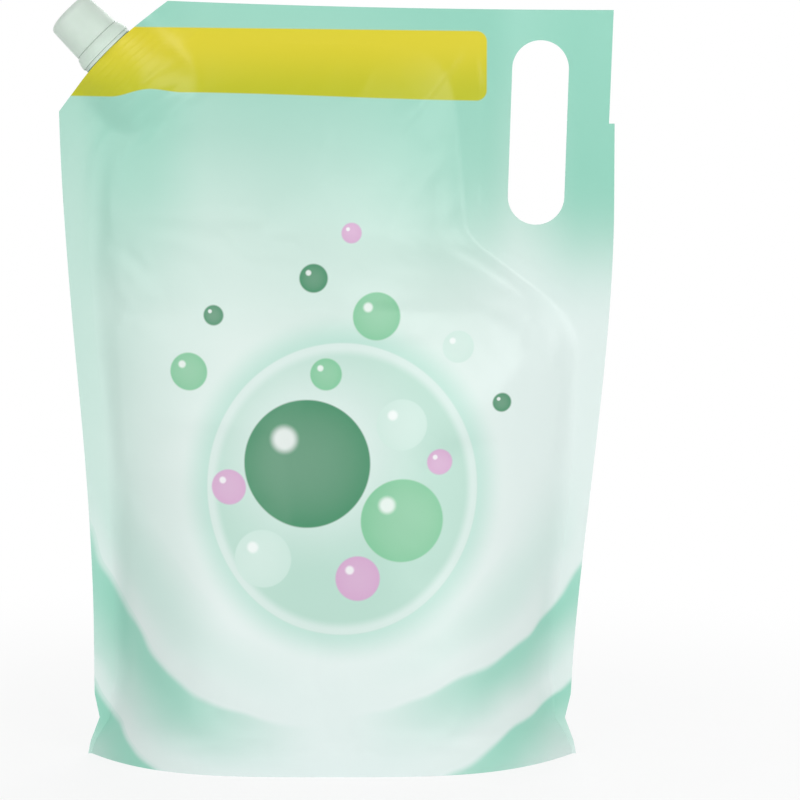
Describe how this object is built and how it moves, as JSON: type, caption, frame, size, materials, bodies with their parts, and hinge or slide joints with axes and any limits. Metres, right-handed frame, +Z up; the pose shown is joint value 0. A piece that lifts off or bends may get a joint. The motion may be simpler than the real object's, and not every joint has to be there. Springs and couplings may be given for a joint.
{
  "type": "hand soap refill pouch",
  "caption": "Stand-up film pouch of liquid hand soap, with a finger slot in its welded corner and a screw-capped spout in the other.",
  "frame": {"origin": "the middle of the base, on the plane the pouch stands on", "axes": "+Z up, -Y out of the printed front, +X to the right as the front is seen"},
  "size_m": [0.1797, 0.0674, 0.2468],
  "materials": {
    "film": "satin printed film",
    "closure": "milky moulded",
    "liner": "foamed"
  },
  "bodies": {
    "pack": {"pouch": "film", "spout": "closure", "tamper_ring": "closure"},
    "liner": {"cap_liner": "liner"},
    "cap": {"screw_cap": "closure"}
  },
  "joints": [
    {"name": "cap_lift", "type": "slide", "parent": "pack", "child": "liner", "axis": [-0.7071, 0, 0.7071], "range_m": [0, 0.0045]},
    {"name": "cap_turn", "type": "hinge", "parent": "liner", "child": "cap", "pos_m": [-0.07176, 0, 0.22916], "axis": [-0.7071, 0, 0.7071], "range_deg": [0, 540]}
  ],
  "couplings": [
    {"joint": "cap_turn", "follows": "cap_lift", "rad_per_m": 2094.4}
  ]
}
